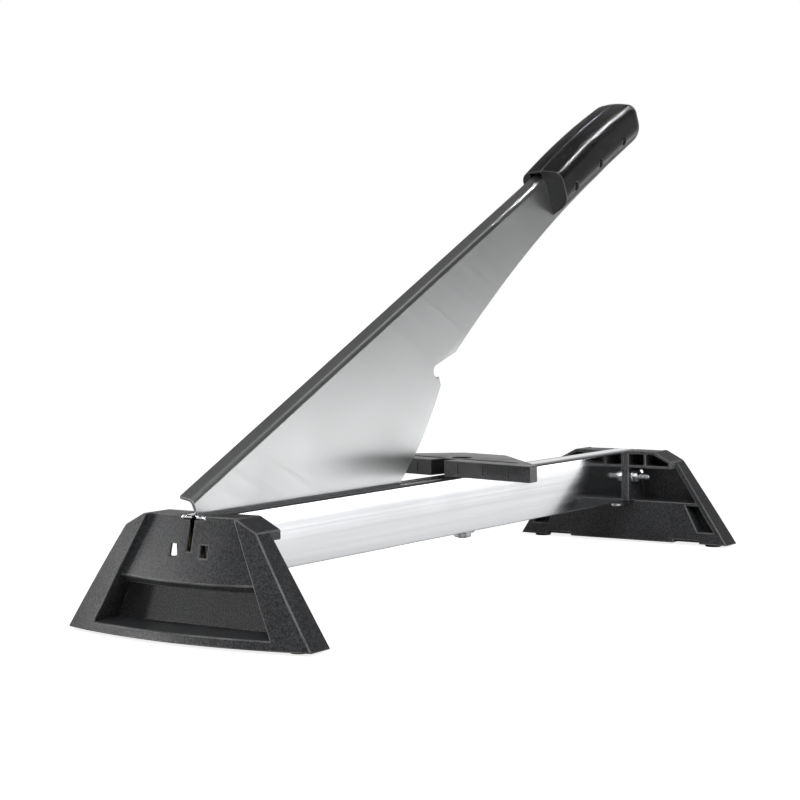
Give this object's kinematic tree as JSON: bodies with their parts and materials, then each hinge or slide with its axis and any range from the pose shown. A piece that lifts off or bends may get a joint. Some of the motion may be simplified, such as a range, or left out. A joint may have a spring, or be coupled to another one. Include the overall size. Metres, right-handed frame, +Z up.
{
  "type": "laminate cutter",
  "caption": "Lever cutter for laminate planks: a folded steel blade arm with a plastic grip swings through a slotted aluminium rail held on moulded feet, with a turning fence on the rail.",
  "frame": {"origin": "on the floor under the middle of the bounding box, midway between the feet, in the plane of the blade", "axes": "+X runs along the rail from the pivot foot to the far foot and the handle, +Z is up, +Y is the side that the spine flange leans to"},
  "size_m": [0.553, 0.1756, 0.3313],
  "materials": {
    "foot_plastic": "fine grained moulding",
    "pad_rubber": "matte",
    "rail_aluminium": "mill finish with lengthwise drawing lines",
    "blade_steel": "rolled sheet",
    "zinc_steel": "bright zinc",
    "bush_brass": "turned",
    "fence_plastic": "smooth moulding",
    "pointer_red": "smooth",
    "black_steel": "black oxide",
    "glide_plastic": "natural nylon",
    "grip_plastic": "semi-gloss moulding"
  },
  "bodies": {
    "base": {"near_foot": "foot_plastic", "far_foot": "foot_plastic", "rubber_pads": "pad_rubber", "rail": "rail_aluminium", "pivot_bolt": "zinc_steel", "pivot_bushes": "bush_brass", "pivot_washers": "zinc_steel", "pivot_nut": "zinc_steel", "near_side_screws": "zinc_steel", "clamp_bolt": "zinc_steel", "clamp_washers": "zinc_steel", "clamp_nut": "zinc_steel", "clamp_spacer": "zinc_steel", "lug_screws": "zinc_steel", "lug_nuts": "zinc_steel", "fence_bolt": "black_steel", "fence_washers": "zinc_steel", "fence_nut": "zinc_steel", "fence_glide": "glide_plastic"},
    "arm": {"blade": "blade_steel", "grip_left": "grip_plastic", "grip_right": "grip_plastic", "grip_screws": "zinc_steel", "grip_nuts": "zinc_steel"},
    "fence": {"fence": "fence_plastic", "fence_pointer": "pointer_red"}
  },
  "joints": [
    {"name": "arm_pivot", "type": "hinge", "parent": "base", "child": "arm", "pos_m": [-0.2275, 0, 0.0528], "axis": [0, -1, 0], "range_deg": [-15, 38]},
    {"name": "fence_swivel", "type": "hinge", "parent": "base", "child": "fence", "pos_m": [0.02299, 0, 0.0706], "axis": [0, 0, 1], "range_deg": [-0.5, 21.5]}
  ]
}
